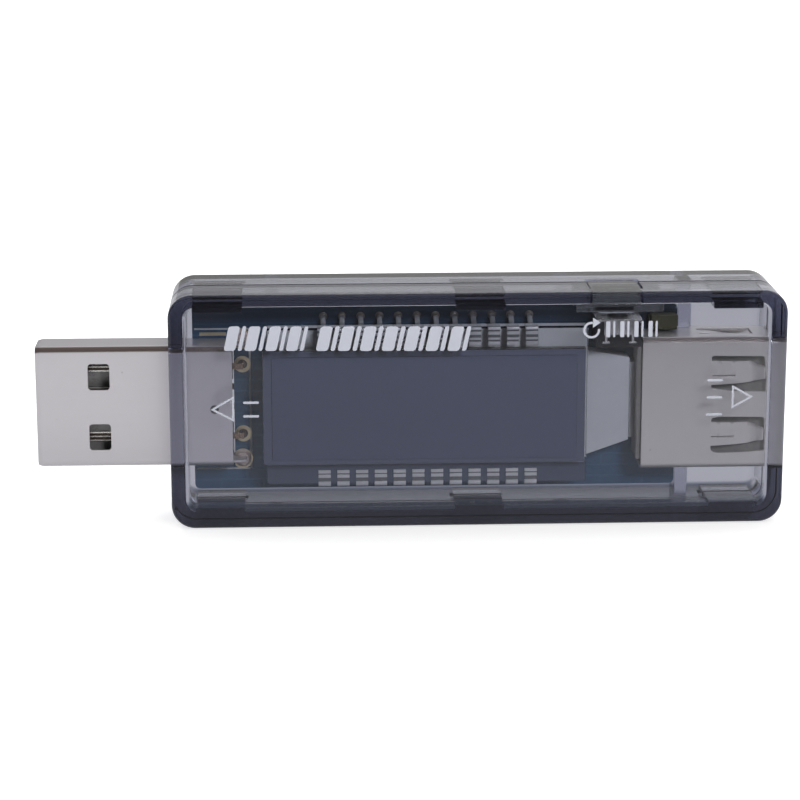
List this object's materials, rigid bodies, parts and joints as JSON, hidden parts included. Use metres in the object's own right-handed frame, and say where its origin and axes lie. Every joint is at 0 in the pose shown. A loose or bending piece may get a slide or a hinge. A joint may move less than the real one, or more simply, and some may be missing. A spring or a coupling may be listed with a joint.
{
  "type": "usb power meter",
  "caption": "Inline USB power meter: translucent two-piece case with a USB-A plug, a USB-A socket, a segment display on a small board and a reset button.",
  "frame": {"origin": "centre of the long bottom face of the case, half way along it and half way through its thickness", "axes": "+X along the plug axis towards the socket end, -Y is the display face, +Z is the button side"},
  "size_m": [0.0726, 0.011, 0.0231],
  "materials": {
    "smoke_plastic": "polished, translucent smoky grey",
    "button_plastic": "polished, translucent smoky grey",
    "black_plastic": "moulded, matte",
    "tinned_steel": "tin plated",
    "spring_steel": "polished",
    "nickel_plate": "nickel plated, satin",
    "gold_plate": "gold flashed",
    "solder": "bright solder",
    "board_laminate": "dark blue solder mask",
    "clear_glass": "clear",
    "polariser_film": "dark film",
    "white_acrylic": "frosted",
    "white_led": "white package with phosphor",
    "chip_epoxy": "moulded epoxy",
    "tan_ceramic": "fired ceramic",
    "olive_epoxy": "moulded epoxy"
  },
  "bodies": {
    "meter": {"front_shell": "smoke_plastic", "rear_shell": "smoke_plastic", "switch_body": "black_plastic", "switch_cover": "tinned_steel", "switch_dome": "spring_steel", "switch_terminals": "tinned_steel", "pcb": "board_laminate", "pcb_pads": "gold_plate", "solder_joints": "solder", "usb_plug_shell": "nickel_plate", "usb_plug_insulator": "black_plastic", "usb_plug_contacts": "gold_plate", "usb_socket_shell": "nickel_plate", "usb_socket_insulator": "black_plastic", "usb_socket_contacts": "gold_plate", "lcd_front_glass": "clear_glass", "lcd_rear_glass": "clear_glass", "lcd_front_polariser": "polariser_film", "lcd_rear_polariser": "polariser_film", "lcd_pins_upper": "tinned_steel", "lcd_pins_lower": "tinned_steel", "backlight_guide": "white_acrylic", "backlight_led": "white_led", "microcontroller": "chip_epoxy", "memory_chip": "chip_epoxy", "current_sense_amplifier": "chip_epoxy", "voltage_regulator": "chip_epoxy", "shunt_resistor": "chip_epoxy", "crystal": "nickel_plate", "chip_capacitors": "tan_ceramic", "chip_resistors": "chip_epoxy", "tantalum_capacitor": "olive_epoxy"},
    "button": {"reset_button": "button_plastic"},
    "stem": {"switch_stem": "black_plastic"}
  },
  "joints": [
    {"name": "button_press", "type": "slide", "parent": "meter", "child": "button", "axis": [0, 0, -1], "range_m": [0, 0.00025], "stiffness_N_per_m": 10, "springref_m": -0.0001},
    {"name": "stem_press", "type": "slide", "parent": "meter", "child": "stem", "axis": [0, 0, -1], "range_m": [0, 0.00025], "deforming": ["switch_dome"]}
  ],
  "couplings": [
    {"joint": "stem_press", "follows": "button_press", "ratio": 1}
  ]
}
